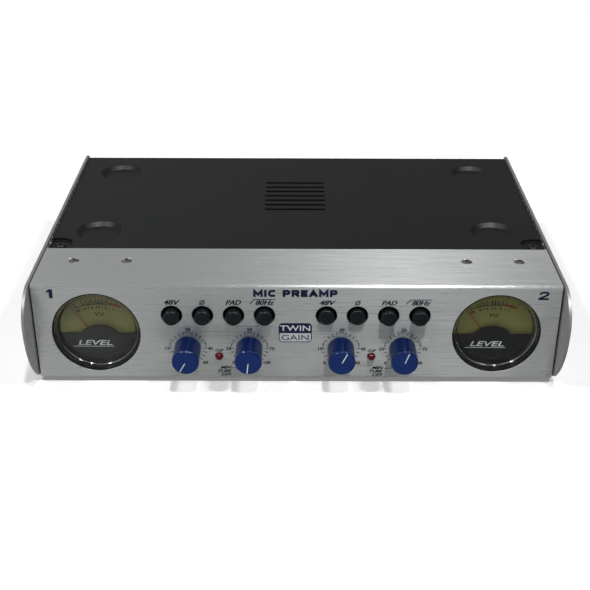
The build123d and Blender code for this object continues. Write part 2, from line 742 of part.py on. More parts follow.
def make_balanced_shell(x):
    """Cup of a three-pin balanced output."""
    face = rear_outer + plate_thickness
    body = rod(x, connector_z, (face - 18.0, rear_outer + 0.5), 11.0)
    cup = rod(x, connector_z, (face - 15.0, face + 1), 9.6)
    return connector_plate(x) + body - cup


def make_balanced_pins():
    face = rear_outer + plate_thickness
    pins = []
    for x in balanced_x:
        for angle in (30, 150, 270):
            pin_x = x + 5.4 * cos(radians(angle))
            pin = rod(pin_x, connector_z + 5.4 * sin(radians(angle)), (face - 15.0, face - 2.5), 1.2)
            pins.append(fillet(ends(pin, Axis.Y, -1), 0.7))
    return pins


def make_line_jack(x):
    """Phone jack with a plain-bored bushing through the rear panel."""
    body = slab((x - 7.5, x + 7.5), (rear_inner - 26, rear_inner), (connector_z - 8, connector_z + 8))
    bushing = rod(x, connector_z, (rear_inner - 1, rear_y + jack_reach), 4.8)
    return body + bushing - rod(x, connector_z, (rear_inner - 24, rear_y + 5), plug_bore)


def make_line_jack_nut(x):
    turn = Pos(x, rear_outer, connector_z) * Rot(-90, 0, 0)
    washer = rod(x, connector_z, (rear_outer, rear_outer + 0.5), 7.0)
    nut = turn * extrude(RegularPolygon(6.9, 6), 2.6) + washer
    return nut - rod(x, connector_z, (rear_outer - 1, rear_y + 4), 4.85)


def make_inner_screws():
    """The round-headed screws of the main board and of the connector plates."""
    face = rear_outer + plate_thickness
    board = [pan_screw_down(x, y, board_top, 4.5) for x, y in standoff_places()]
    return board + [pan_screw_rear(x, z, face, 4.0) for x, z in plate_screw_places()]


def make_power_inlet():
    """Round low-voltage inlet with a centre pin."""
    body = slab((inlet_x - 5.5, inlet_x + 5.5), (rear_inner - 12, rear_inner),
                (board_top, connector_z + 5.5))
    collar = rod(inlet_x, connector_z, (rear_inner - 1, rear_outer + 0.8), 4.1)
    socket = rod(inlet_x, connector_z, (rear_outer - 9.5, rear_outer + 2), 3.0)
    pin = rod(inlet_x, connector_z, (rear_outer - 9.6, rear_outer - 0.4), 1.05)
    return body + collar - socket + pin


def make_switch_housing():
    """Frame of the power switch, open at the back for its rocker."""
    frame = slab((switch_x - 7.6, switch_x + 7.6), (rear_outer, rear_outer + 1.6),
                 (connector_z - 10.6, connector_z + 10.6))
    frame = fillet(frame.edges().filter_by(Axis.Y), 1.0)
    body = slab((switch_x - 6.5, switch_x + 6.5), (rear_inner - 14, rear_outer + 0.5),
                (connector_z - 9.5, connector_z + 9.5))
    well = slab((switch_x - 5.4, switch_x + 5.4), (rear_inner - 9, rear_outer + 4),
                (connector_z - 8.4, connector_z + 8.4))
    pivot = axle(rear_outer - 4.5, connector_z, (switch_x - 6.0, switch_x + 6.0), 0.85)
    return frame + body - well - pivot


def make_power_rocker():
    """Rocker on a cross pin, resting with its upper half pressed in."""
    pivot_y = rear_outer - 4.5
    pin = axle(0, 0, (-5.9, 5.9), 0.8)
    hub = axle(0, 0, (-5.1, 5.1), 2.6)
    face = Polyline((-1.0, -7.6), (5.6, -7.6), (4.3, 0.0), (5.6, 7.6), (-1.0, 7.6), close=True)
    block = plate(make_face(face), (-5.1, 5.1))
    return Pos(switch_x, pivot_y, connector_z) * Rot(8, 0, 0) * (block + hub + pin)


# ---- Write every node --------------------------------------------------------
def main():
    os.makedirs("parts", exist_ok=True)
    save("front_panel", make_front_panel())
    save("left_side_panel", make_side_panel(-1))
    save("right_side_panel", make_side_panel(1))
    save("chassis", make_chassis())
    save("rear_panel", make_rear_panel())
    save("top_cover", make_top_cover())
    save("rubber_feet", *make_feet())
    save("cover_screws", *make_cover_screws())
    save("panel_screws", *make_panel_screws())
    save("side_screws", *make_side_screws())
    save("side_spacers", *make_side_spacers())
    save("clinch_nuts", *make_clinch_nuts())
    save("control_bracket", make_bracket())
    save("potentiometers", *[make_potentiometer(x) for x in knob_x])
    save("potentiometer_nuts", *[make_potentiometer_nut(x) for x in knob_x])
    save("push_switches", *[make_push_switch(x) for x in button_x])
    save("clip_lights", *[make_led(x) for x in led_x])
    save("front_board", make_front_board())
    for name, x, angle in zip(knob_names, knob_x, knob_angle):
        save(f"{name}_knob", make_knob(x, angle))
        save(f"{name}_shaft", make_shaft(x))
    for name, x in zip(button_names, button_x):
        save(name, make_button(x, latched_travel if name in latched_names else 0.0))
    save("meter_housings", *[make_meter_housing(x) for x in (-meter_x, meter_x)])
    save("meter_lenses", *[make_meter_lens(x) for x in (-meter_x, meter_x)])
    save("meter_dials", *[make_meter_dial(x) for x in (-meter_x, meter_x)])
    save("meter_shrouds", *[make_meter_shroud(x) for x in (-meter_x, meter_x)])
    save("meter_movements", *[make_meter_movement(x) for x in (-meter_x, meter_x)])
    save("meter_1_needle", make_needle(-meter_x))
    save("meter_2_needle", make_needle(meter_x))
    save("main_board", make_main_board())
    save("board_standoffs", *make_standoffs())
    save("tube_glass", make_tube_glass())
    save("tube_electrodes", make_tube_electrodes())
    save("tube_socket", make_tube_socket())
    save("capacitors", *make_capacitors())
    save("amplifier_chips", *make_chips())
    save("heat_sink", make_heat_sink())
    save("regulators", *make_regulators())
    save("ribbon_cable", make_ribbon_cable())
    save("input_jacks", *[make_input_jack(x) for x in input_x])
    save("balanced_output_shells", *[make_balanced_shell(x) for x in balanced_x])
    save("balanced_output_pins", *make_balanced_pins())
    save("line_output_jacks", *[make_line_jack(x) for x in line_x])
    save("line_jack_nuts", *[make_line_jack_nut(x) for x in line_x])
    save("board_and_connector_screws", *make_inner_screws())
    save("power_inlet", make_power_inlet())
    save("power_switch_housing", make_switch_housing())
    save("power_rocker", make_power_rocker())


if __name__ == "__main__":
    main()
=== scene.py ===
import json
import math

import bmesh
import bpy
from mathutils import Matrix, Vector


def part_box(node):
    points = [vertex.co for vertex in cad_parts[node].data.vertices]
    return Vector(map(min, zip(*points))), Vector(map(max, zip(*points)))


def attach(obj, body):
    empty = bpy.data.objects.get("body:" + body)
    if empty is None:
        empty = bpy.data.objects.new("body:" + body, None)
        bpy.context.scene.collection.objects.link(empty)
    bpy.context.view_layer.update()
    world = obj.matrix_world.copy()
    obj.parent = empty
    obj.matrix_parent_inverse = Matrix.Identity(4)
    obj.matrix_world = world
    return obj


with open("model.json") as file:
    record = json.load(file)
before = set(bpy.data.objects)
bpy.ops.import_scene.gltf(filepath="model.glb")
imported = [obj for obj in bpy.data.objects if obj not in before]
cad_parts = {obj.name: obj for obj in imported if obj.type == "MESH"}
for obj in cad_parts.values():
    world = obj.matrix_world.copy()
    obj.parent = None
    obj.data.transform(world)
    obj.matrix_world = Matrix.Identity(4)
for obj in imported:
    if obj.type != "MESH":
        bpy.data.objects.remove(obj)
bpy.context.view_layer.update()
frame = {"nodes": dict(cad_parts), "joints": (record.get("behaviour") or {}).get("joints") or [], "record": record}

# Places are in metres, in the CAD frame: +X right, +Y back, +Z up, with the origin on the
# ground under the middle of the case. Printing, pointers and knob rims are drawn in
# millimetres and scaled by MM when they are put in place.
MM = 0.001
CASE = "case"
LIGHT_FLANGE = 1.95 * MM    # radius of a clip light's flange
DIAL_RADIUS = 17.45 * MM    # radius of a meter's dial
KNOB_RIM = 1.1              # radius of the rounding round a knob's face, in millimetres
NOISE_SPREAD = (0.3, 0.7)   # the values that a noise pattern mostly keeps between
CAP_HEIGHT = 0.686          # height of a capital in the built-in font, for a size of 1


# ---- Places taken from the frame ----------------------------------------------
def centre(node):
    low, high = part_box(node)
    return (low + high) / 2


def joint(name):
    return next(j for j in frame["joints"] if j["name"] == name)


panel_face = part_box("front_panel")[0].y
rear_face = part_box("rear_panel")[1].y
knob_names = ("gain_1", "drive_1", "gain_2", "drive_2")
knob_at = {name: Vector(joint(name + "_turn")["pos_m"]) for name in knob_names}
knob_low, knob_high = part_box("gain_1_knob")
knob_face = knob_low.y
knob_radius = (knob_high.x - knob_low.x) / 2
light_z = centre("clip_lights").z
light_low, light_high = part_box("clip_lights")
light_x = {1: light_low.x + LIGHT_FLANGE, 2: light_high.x - LIGHT_FLANGE}
meter_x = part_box("meter_dials")[1].x - DIAL_RADIUS
meter_z = centre("meter_dials").z
dial_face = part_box("meter_dials")[0].y
shroud_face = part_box("meter_shrouds")[0].y
channels = {1: -1, 2: 1}    # channel number and the side of the panel it is on


# ---- Materials ----------------------------------------------------------------
def mapped(tree, source, before, after):
    """Maps a pattern's values from the span before to the span after."""
    node = tree.nodes.new("ShaderNodeMapRange")
    tree.links.new(source, node.inputs["Value"])
    for label, value in zip(("From Min", "From Max", "To Min", "To Max"), before + after):
        node.inputs[label].default_value = value
    return node.outputs["Result"]


class Finish:
    """A node material under construction. Patterns are in object space, per metre."""

    def __init__(self, name, **surface):
        self.material = bpy.data.materials.new(name)
        self.material.use_nodes = True
        self.tree = self.material.node_tree
        self.bsdf = self.tree.nodes["Principled BSDF"]
        self.place = self.add("TexCoord").outputs["Object"]
        for key, value in surface.items():
            socket = self.bsdf.inputs[key.replace("_", " ")]
            socket.default_value = (*value, 1.0) if isinstance(value, tuple) else value

    def add(self, kind, **settings):
        node = self.tree.nodes.new("ShaderNode" + kind)
        for key, value in settings.items():
            setattr(node, key, value)
        return node

    def link(self, source, target):
        self.tree.links.new(source, target)

    def stretched(self, scale):
        node = self.add("VectorMath", operation="MULTIPLY")
        self.link(self.place, node.inputs[0])
        node.inputs[1].default_value = scale
        return node.outputs[0]

    def noise(self, scale, detail=3.0, roughness=0.55):
        node = self.add("TexNoise")
        self.link(self.stretched(scale), node.inputs["Vector"])
        node.inputs["Scale"].default_value = 1.0
        node.inputs["Detail"].default_value = detail
        node.inputs["Roughness"].default_value = roughness
        return node.outputs["Fac"]

    def cells(self, scale, output="Color", feature="F1"):
        node = self.add("TexVoronoi", feature=feature)
        self.link(self.stretched(scale), node.inputs["Vector"])
        node.inputs["Scale"].default_value = 1.0
        return node.outputs[output]

    def levels(self, source, before, after):
        return mapped(self.tree, source, before, after)

    def blend(self, share, first, second):
        """Mix of two colours, or of two patterns, by a fixed share or a pattern's value."""
        node = self.add("Mix", data_type="RGBA")
        if isinstance(share, float):
            node.inputs["Factor"].default_value = share
        else:
            self.link(share, node.inputs["Factor"])
        for socket, colour in ((node.inputs["A"], first), (node.inputs["B"], second)):
            if isinstance(colour, tuple):
                socket.default_value = (*colour, 1.0)
            else:
                self.link(colour, socket)
        return node.outputs["Result"]

    def colour(self, source):
        self.link(source, self.bsdf.inputs["Base Color"])

    def rough(self, source, low, high):
        self.link(self.levels(source, NOISE_SPREAD, (low, high)), self.bsdf.inputs["Roughness"])

    def relief(self, height, depth, strength=1.0, edge=0.0):
        """Bump of a depth in metres, over edges rounded by a radius."""
        node = self.add("Bump")
        node.inputs["Distance"].default_value = depth
        node.inputs["Strength"].default_value = strength
        self.link(height, node.inputs["Height"])
        if edge:
            rounded = self.add("Bevel", samples=4)
            rounded.inputs["Radius"].default_value = edge
            self.link(rounded.outputs["Normal"], node.inputs["Normal"])
        self.link(node.outputs["Normal"], self.bsdf.inputs["Normal"])


def brushed_aluminium():
    """Long horizontal brush lines, which spread light across them and not along them."""
    finish = Finish("brushed_aluminium", Metallic=0.72, Anisotropic=1.0)
    fine = finish.noise((38, 2300, 2300), 4.0, 0.6)
    broad = finish.noise((9, 420, 420), 2.0)
    cloud = finish.noise((26, 30, 30), 2.0)
    light = finish.blend(fine, (0.52, 0.545, 0.535), (0.72, 0.745, 0.735))
    dull = finish.blend(broad, (0.55, 0.57, 0.56), (0.69, 0.71, 0.70))
    finish.colour(finish.blend(cloud, light, dull))
    finish.rough(fine, 0.26, 0.34)
    across = finish.add("Tangent", direction_type="RADIAL", axis="X")
    finish.link(across.outputs[0], finish.bsdf.inputs["Tangent"])
    finish.relief(fine, 0.06 * MM, 0.8, 0.25 * MM)
    return finish.material


def side_aluminium():
    """Fine satin anodising with a few faint rubs."""
    finish = Finish("side_aluminium", Metallic=0.75)
    grain = finish.noise((5200, 5200, 5200), 2.0)
    rub = finish.noise((90, 60, 900), 3.0)
    finish.colour(finish.blend(rub, (0.36, 0.362, 0.355), (0.45, 0.452, 0.445)))
    finish.rough(grain, 0.40, 0.54)
    finish.relief(grain, 0.012 * MM, 0.6, 0.25 * MM)
    return finish.material


def black_steel():
    """Fine-textured powder coat."""
    finish = Finish("black_steel", Specular_IOR_Level=0.42)
    pebble = finish.noise((3600, 3600, 3600), 2.0, 0.6)
    wear = finish.noise((34, 34, 34), 3.0)
    finish.colour(finish.blend(wear, (0.0045, 0.0052, 0.0050), (0.0065, 0.0072, 0.0069)))
    finish.rough(pebble, 0.36, 0.50)
    finish.relief(pebble, 0.02 * MM, 0.5, 0.2 * MM)
    return finish.material


def rubber():
    finish = Finish("rubber", Specular_IOR_Level=0.3)
    speck = finish.noise((2600, 2600, 2600), 3.0)
    finish.colour(finish.blend(speck, (0.012, 0.012, 0.012), (0.028, 0.028, 0.027)))
    finish.rough(speck, 0.75, 0.95)
    finish.relief(speck, 0.05 * MM, 0.5)
    return finish.material


def bright_steel():
    """Nickel-plated screw heads with fine turning marks and a little grime."""
    finish = Finish("bright_steel", Metallic=1.0)
    mark = finish.noise((3000, 3000, 3000), 2.0)
    grime = finish.noise((420, 420, 420), 3.0)
    finish.colour(finish.blend(grime, (0.30, 0.30, 0.30), (0.78, 0.77, 0.75)))
    finish.rough(mark, 0.16, 0.34)
    finish.relief(mark, 0.01 * MM, 0.5, 0.1 * MM)
    return finish.material


def black_screw():
    finish = Finish("black_screw", Metallic=0.7)
    mark = finish.noise((1800, 1800, 1800), 3.0)
    finish.colour(finish.blend(mark, (0.016, 0.016, 0.018), (0.06, 0.06, 0.062)))
    finish.rough(mark, 0.26, 0.44)
    finish.relief(mark, 0.01 * MM, 0.4, 0.1 * MM)
    return finish.material


def zinc_steel():
    """Zinc plate with its spangle, faintly yellow and blue by turns."""
    finish = Finish("zinc_steel", Metallic=0.95)
    spangle = finish.cells((320, 320, 320))
    grey = finish.add("RGBToBW")
    finish.link(spangle, grey.inputs[0])
    tint = finish.blend(finish.noise((60, 60, 60)), (0.60, 0.58, 0.50), (0.52, 0.55, 0.60))
    finish.colour(finish.blend(grey.outputs[0], tint, (0.68, 0.68, 0.67)))
    finish.rough(finish.noise((900, 900, 900)), 0.28, 0.46)
    finish.relief(grey.outputs[0], 0.01 * MM, 0.4, 0.15 * MM)
    return finish.material


def moulding(name, dark, light, roughness, grain=2400, depth=0.02, **surface):
    """A moulded plastic with a fine spark-eroded grain and slight unevenness of colour."""
    finish = Finish(name, **surface)
    fine = finish.noise((grain, grain, grain), 3.0)
    slow = finish.noise((130, 130, 130), 2.0)
    finish.colour(finish.blend(slow, dark, light))
    finish.rough(fine, *roughness)
    finish.relief(fine, depth * MM, 0.35)
    return finish.material


def knob_blue():
    """Satin blue moulding, with painted shade that makes its side darker than its face."""
    finish = Finish("knob_blue", Specular_IOR_Level=0.07)
    slow = finish.noise((130, 130, 130), 2.0)
    face = finish.blend(slow, (0.007, 0.020, 0.088), (0.010, 0.026, 0.112))
    # Painted shade: the darker blue laid on the knob's side, where the lamps would light it too brightly.
    side = finish.blend(slow, (0.0015, 0.0075, 0.046), (0.0025, 0.011, 0.060))
    parts = finish.add("SeparateXYZ")
    normal = finish.add("TexCoord").outputs["Normal"]
    finish.link(normal, parts.inputs[0])
    # Mask of the painted shade, taken from which way the surface faces: the front face keeps the lighter blue.
    painted_side_shade = finish.levels(parts.outputs["Y"], (-0.9, -0.3), (0.0, 1.0))
    finish.colour(finish.blend(painted_side_shade, face, side))
    fine = finish.noise((900, 900, 900), 3.0)
    finish.rough(fine, 0.12, 0.18)
    finish.relief(fine, 0.004 * MM, 0.35)
    return finish.material


def red_lens():
    """Tinted clear resin, deep red, with a painted glow: brighter where it faces the viewer, darker towards its
    outline.
    """
    finish = Finish("red_lens", Specular_IOR_Level=0.35)
    painted_glow_by_view = finish.add("LayerWeight")
    painted_glow_by_view.inputs["Blend"].default_value = 0.35
    # Painted glow: the lighter red where the lens faces the viewer, fading to the darker red at its outline.
    finish.colour(finish.blend(painted_glow_by_view.outputs["Facing"], (0.085, 0.003, 0.007), (0.016, 0.001, 0.002)))
    swirl = finish.noise((700, 700, 700))
    finish.rough(swirl, 0.10, 0.2)
    finish.relief(swirl, 0.01 * MM, 0.2)
    return finish.material


def clear(name, tint, ior, waviness):
    """Clear glass or acrylic that lets lamps reach what is behind it."""
    finish = Finish(name, Transmission_Weight=1.0, IOR=ior, Base_Color=tint)
    wave = finish.noise((60, 60, 60), 1.0)
    finish.rough(finish.noise((900, 900, 900)), 0.0, 0.035)
    finish.relief(wave, waviness * MM, 0.3)
    through = finish.add("BsdfTransparent")
    through.inputs["Color"].default_value = (*tint, 1.0)
    path = finish.add("LightPath")
    mix = finish.add("MixShader")
    finish.link(path.outputs["Is Shadow Ray"], mix.inputs["Fac"])
    finish.link(finish.bsdf.outputs[0], mix.inputs[1])
    finish.link(through.outputs[0], mix.inputs[2])
    finish.link(mix.outputs[0], finish.tree.nodes["Material Output"].inputs["Surface"])
    return finish.material


def dial_print():
    """Olive-yellow card with a blotchy tone and faint fibres."""
    finish = Finish("dial_print", Specular_IOR_Level=0.2)
    fibre = finish.noise((1500, 1500, 4000), 4.0)
    card = finish.blend(fibre, (0.57, 0.55, 0.175), (0.70, 0.675, 0.225))
    aged = finish.blend(finish.noise((120, 120, 120)), (0.50, 0.485, 0.145), (0.74, 0.715, 0.245))
    finish.colour(finish.blend(0.45, card, aged))
    finish.rough(fibre, 0.6, 0.8)
    finish.relief(fibre, 0.01 * MM, 0.3)
    return finish.material


def circuit_board():
    """Green solder mask over copper tracks and pads."""
    finish = Finish("circuit_board", Coat_Weight=0.25, Coat_Roughness=0.2)
    tracks = finish.cells((210, 210, 210), "Distance", "DISTANCE_TO_EDGE")
    line = finish.levels(tracks, (0.05, 0.09), (1.0, 0.0))
    mask = finish.blend(finish.noise((90, 90, 90)), (0.006, 0.055, 0.022), (0.012, 0.085, 0.034))
    finish.colour(finish.blend(line, mask, (0.03, 0.15, 0.045)))
    finish.rough(finish.noise((800, 800, 800)), 0.28, 0.45)
    finish.relief(line, 0.035 * MM, 0.6)
    return finish.material


def metal(name, dark, light, roughness, grain=(1400, 1400, 1400)):
    """Bare metal with a drawn or turned grain."""
    finish = Finish(name, Metallic=1.0)
    mark = finish.noise(grain, 3.0)
    finish.colour(finish.blend(mark, dark, light))
    finish.rough(mark, *roughness)
    finish.relief(mark, 0.01 * MM, 0.4)
    return finish.material


def capacitor_sleeve():
    """Dark shrunk sleeve with a paler stripe that comes and goes round the cans."""
    finish = Finish("capacitor_sleeve", Coat_Weight=0.3)
    stripe = finish.levels(finish.noise((75, 75, 4)), (0.56, 0.58), (0.0, 1.0))
    finish.colour(finish.blend(stripe, (0.012, 0.014, 0.035), (0.30, 0.31, 0.34)))
    crease = finish.noise((300, 300, 1400))
    finish.rough(crease, 0.22, 0.4)
    finish.relief(crease, 0.03 * MM, 0.4)
    return finish.material


def ink(name, thin, full, roughness=0.5):
    """Screen-printed ink, a little uneven in cover."""
    finish = Finish(name, Specular_IOR_Level=0.35)
    cover = finish.noise((2600, 2600, 2600), 2.0)
    finish.colour(finish.blend(cover, thin, full))
    finish.rough(cover, roughness - 0.08, roughness + 0.08)
    finish.relief(cover, 0.004 * MM, 0.4)
    return finish.material


FINISHES = {
    "brushed_aluminium": brushed_aluminium(),
    "side_aluminium": side_aluminium(),
    "black_steel": black_steel(),
    "rubber": rubber(),
    "bright_steel": bright_steel(),
    "black_screw": black_screw(),
    "zinc_steel": zinc_steel(),
    "black_plastic": moulding("black_plastic", (0.005, 0.005, 0.006), (0.008, 0.008, 0.009),
                              (0.12, 0.2), Specular_IOR_Level=0.4),
    "button_plastic": moulding("button_plastic", (0.004, 0.005, 0.007), (0.008, 0.010, 0.012),
                               (0.24, 0.36), grain=1800, depth=0.03, Specular_IOR_Level=0.3),
    "knob_blue": knob_blue(),
    "red_lens": red_lens(),
    "meter_window": clear("meter_window", (0.97, 0.98, 0.96), 1.49, 0.02),
    "dial_print": dial_print(),
    "needle_red": moulding("needle_red", (0.62, 0.195, 0.060), (0.72, 0.245, 0.080),
                           (0.4, 0.55)),
    "circuit_board": circuit_board(),
    "brass": metal("brass", (0.52, 0.36, 0.14), (0.74, 0.55, 0.26), (0.2, 0.36)),
    "pin_silver": metal("pin_silver", (0.60, 0.59, 0.55), (0.80, 0.79, 0.76), (0.14, 0.28)),
    "capacitor_sleeve": capacitor_sleeve(),
    "chip_resin": moulding("chip_resin", (0.012, 0.012, 0.012), (0.022, 0.022, 0.022),
                           (0.5, 0.68), grain=3200, depth=0.03),
    "heat_sink": metal("heat_sink", (0.42, 0.42, 0.43), (0.60, 0.60, 0.61), (0.3, 0.46),
                       (900, 900, 60)),
    "tube_glass": clear("tube_glass", (0.95, 0.98, 0.97), 1.5, 0.05),
    "tube_metal": metal("tube_metal", (0.10, 0.10, 0.11), (0.19, 0.19, 0.20), (0.4, 0.6)),
    "socket_ceramic": moulding("socket_ceramic", (0.62, 0.60, 0.54), (0.76, 0.74, 0.68),
                               (0.5, 0.68)),
    "cable_grey": moulding("cable_grey", (0.26, 0.27, 0.29), (0.38, 0.39, 0.41), (0.45, 0.6)),
}
POLISH = moulding("knob_polish", (0.003, 0.012, 0.070), (0.004, 0.015, 0.085), (0.03, 0.06),
                  grain=300, depth=0.002)
NAVY = ink("navy_ink", (0.004, 0.005, 0.045), (0.003, 0.003, 0.032))
WHITE = ink("white_ink", (0.44, 0.48, 0.51), (0.56, 0.60, 0.63))
SCALE_BLACK = ink("scale_black_ink", (0.020, 0.018, 0.010), (0.010, 0.009, 0.006))
SCALE_RED = ink("scale_red_ink", (0.62, 0.175, 0.055), (0.52, 0.130, 0.042))
BADGE_SILVER = ink("badge_silver", (0.34, 0.36, 0.38), (0.42, 0.44, 0.46), 0.4)

for subpart in frame["record"]["subparts"]:
    shown = frame["nodes"][subpart["node"]]
    shown.data.materials.clear()
    shown.data.materials.append(FINISHES[subpart["material_slot"]])


# ---- Printing -----------------------------------------------------------------
def facing_front(y):
    """Drawing plane at y, seen from the front: right is +X and up is +Z."""
    return Matrix(((1, 0, 0, 0), (0, 0, -1, y), (0, 1, 0, 0), (0, 0, 0, 1)))


def facing_back(y):
    """Drawing plane at y, seen from behind: right is -X and up is +Z."""
    return Matrix(((-1, 0, 0, 0), (0, 0, 1, y), (0, 1, 0, 0), (0, 0, 0, 1)))


# Each letter: its width as a share of the widest, and its strokes in a unit square.
STROKES = {
    " ": (0.25, ()),
    "A": (0.85, (((0.0, 0.0), (0.5, 1.0), (1.0, 0.0)), ((0.28, 0.3), (0.72, 0.3)))),
    "C": (0.72, (((0.9, 1.0), (0.28, 1.0), (0.0, 0.74), (0.0, 0.26), (0.28, 0.0), (0.9, 0.0)),)),
    "E": (0.62, (((1.0, 1.0), (0.0, 1.0), (0.0, 0.0), (1.0, 0.0)), ((0.3, 0.5), (0.85, 0.5)))),
    "I": (0.0, (((0.0, 0.0), (0.0, 1.0)),)),
    "M": (1.0, (((0.0, 0.0), (0.0, 1.0), (0.5, 0.25), (1.0, 1.0), (1.0, 0.0)),)),
    "P": (0.72, (((0.0, 0.0), (0.0, 1.0), (0.8, 1.0), (1.0, 0.86), (1.0, 0.56), (0.8, 0.42),
                  (0.3, 0.42)),)),
    "R": (0.76, (((0.0, 0.0), (0.0, 1.0), (0.8, 1.0), (1.0, 0.86), (1.0, 0.58), (0.8, 0.44),
                  (0.3, 0.44)), ((0.6, 0.3), (0.95, 0.0)))),
    "U": (1.0, (((0.0, 1.0), (0.0, 0.25), (0.25, 0.0), (0.75, 0.0), (1.0, 0.25), (1.0, 1.0)),)),
    "V": (1.0, (((0.0, 1.0), (0.5, 0.0), (1.0, 1.0)),)),
}


def bridge(mesh, first, second):
    """Joins two closed loops that have as many corners by a band of faces."""
    for i in range(len(first)):
        mesh.faces.new((first[i - 1], first[i], second[i], second[i - 1]))


class Print:
    """Thin solid shapes in one piece, drawn in millimetres on a plane.

    low and high are the heights of the ink's underside and top over the plane.
    """

    def __init__(self, name, plane, low=-0.01, high=0.02):
        self.name = name
        self.plane = plane
        self.low = low
        self.high = high
        self.mesh = bmesh.new()

    def shape(self, points):
        """A closed outline, anticlockwise."""
        low = [self.mesh.verts.new((u, v, self.low)) for u, v in points]
        high = [self.mesh.verts.new((u, v, self.high)) for u, v in points]
        self.mesh.faces.new(low[::-1])
        self.mesh.faces.new(high)
        bridge(self.mesh, low, high)

    def line(self, points, width):
        """A line of constant width through points, with mitred corners."""
        points = [Vector(p) for p in points]
        runs = [(b - a).normalized() for a, b in zip(points, points[1:])]
        sides = []
        for before, after in zip(runs[:1] + runs, runs + runs[-1:]):
            middle = (before + after).normalized()
            reach = width / 2 / max(0.4, middle.dot(after))
            sides.append(Vector((-middle.y, middle.x)) * reach)
        right = [p - s for p, s in zip(points, sides)]
        left = [p + s for p, s in zip(points, sides)]
        self.shape(right + left[::-1])

    def arc(self, middle, radius, start, end, width, steps=12):
        """Part of a circle; angles are clockwise from straight up, in degrees."""
        turns = [math.radians(start + (end - start) * i / steps) for i in range(steps + 1)]
        u, v = middle
        self.line([(u + radius * math.sin(a), v + radius * math.cos(a)) for a in turns], width)

    def tick(self, middle, angle, inner, outer, width):
        turn = math.radians(angle)
        way = Vector((math.sin(turn), math.cos(turn)))
        self.line([Vector(middle) + way * inner, Vector(middle) + way * outer], width)

    def words(self, text, u, v, height, wide=1.0, weight=0.0, slant=0.0, align="CENTER", bold=0.0):
        """Lettering placed by u and centred on v, with capitals of a height in millimetres.

        wide stretches it sideways, weight swells every outline by a share of the size, and
        bold thickens the upright strokes alone, in millimetres.
        """
        if bold:
            self.words(text, u + bold, v, height, wide, weight, slant, align)
        curve = bpy.data.curves.new(self.name, "FONT")
        curve.body = text
        curve.align_x = align
        curve.shear = slant
        curve.offset = weight
        curve.extrude = 0.5
        curve.resolution_u = 4
        letters = bpy.data.objects.new(self.name, curve)
        bpy.context.scene.collection.objects.link(letters)
        bpy.context.view_layer.update()
        graph = bpy.context.evaluated_depsgraph_get()
        made = bpy.data.meshes.new_from_object(letters.evaluated_get(graph))
        size = height / CAP_HEIGHT
        depth = self.high - self.low
        scale = Matrix.Diagonal((size * wide, size, depth, 1.0))
        shift = Matrix.Translation((u, v - height / 2, (self.high + self.low) / 2))
        made.transform(shift @ scale)
        self.mesh.from_mesh(made)
        bpy.data.objects.remove(letters)
        bpy.data.curves.remove(curve)
        bpy.data.meshes.remove(made)

    def strokes(self, text, u, v, height, width, weight, gap):
        """Heavy plain letters drawn as thick lines, starting at u and standing on v."""
        for letter in text:
            share, paths = STROKES[letter]
            wide = weight + share * (width - weight)
            for path in paths:
                points = [Vector((u + weight / 2 + a * (wide - weight),
                                  v + weight / 2 + b * (height - weight))) for a, b in path]
                if len(points) > 1:
                    points[0] += (points[0] - points[1]).normalized() * weight / 2
                    points[-1] += (points[-1] - points[-2]).normalized() * weight / 2
                    self.line(points, weight)
            u += wide + gap

    def place(self, material):
        add_piece(self.name, self.mesh, material, CASE, self.plane @ Matrix.Scale(MM, 4))


def add_piece(name, mesh, material, body, placed, smooth=False):
    """Turns a bmesh into a named piece that rides on a body."""
    bmesh.ops.transform(mesh, matrix=placed, verts=mesh.verts)
    bmesh.ops.recalc_face_normals(mesh, faces=mesh.faces)
    data = bpy.data.meshes.new(name)
    mesh.to_mesh(data)
    mesh.free()
    for polygon in data.polygons:
        polygon.use_smooth = smooth
    data.materials.append(material)
    piece = bpy.data.objects.new(name, data)
    bpy.context.scene.collection.objects.link(piece)
    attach(piece, body)


# ---- Front panel lettering ----------------------------------------------------
# Millimetres on the panel: u is to the right of its middle, and v is up from the ground.
PANEL = facing_front(panel_face)
INK_SPREAD = 0.014          # how far small lettering swells, as a share of its size
LABEL_Z = 38.05             # middle of the row of words over the buttons
LABEL_LEAN = 0.35           # sideways lean of those words
SMALL_LEAN = 0.3            # sideways lean of the words beside lamps and drive knobs
NUMBER_LINE = 0.9           # width of the strokes in a channel's number
KNOB_SWEEP = 150            # degrees from straight up to either end of a knob's scale
KNOB_QUARTER = 75
KNOB_STEP = 15              # degrees from one tick to the next
KNOB_TICK = (6.5, 7.9)      # the ends of a tick, as radii
KNOB_ARC = 7.5              # radius of the short arcs
KNOB_ARC_REACH = 9          # degrees that an arc goes to either side of its quarter


def print_title():
    title = Print("front_title", PANEL)
    title.strokes("MIC PREAMP", u=-17.3, v=40.65, height=3.2, width=3.86, weight=1.06, gap=0.5)
    title.place(NAVY)


def print_channel_numbers():
    """A figure 1 and a figure 2 in the panel's upper corners."""
    numbers = Print("channel_numbers", PANEL)
    numbers.shape([(-98.9, 39.7), (-97.4, 39.7), (-97.4, 43.8), (-98.6, 43.8), (-99.8, 43.0),
                   (-99.8, 42.1), (-98.9, 42.5)])
    numbers.line([(97.1, 42.1), (97.7, 42.75), (98.7, 42.98), (99.7, 42.98), (100.35, 42.65),
                  (100.3, 42.0), (99.3, 41.35), (97.6, 40.5), (97.1, 40.1)], NUMBER_LINE)
    numbers.line([(96.6, 40.05), (100.8, 40.05)], NUMBER_LINE)
    numbers.place(NAVY)


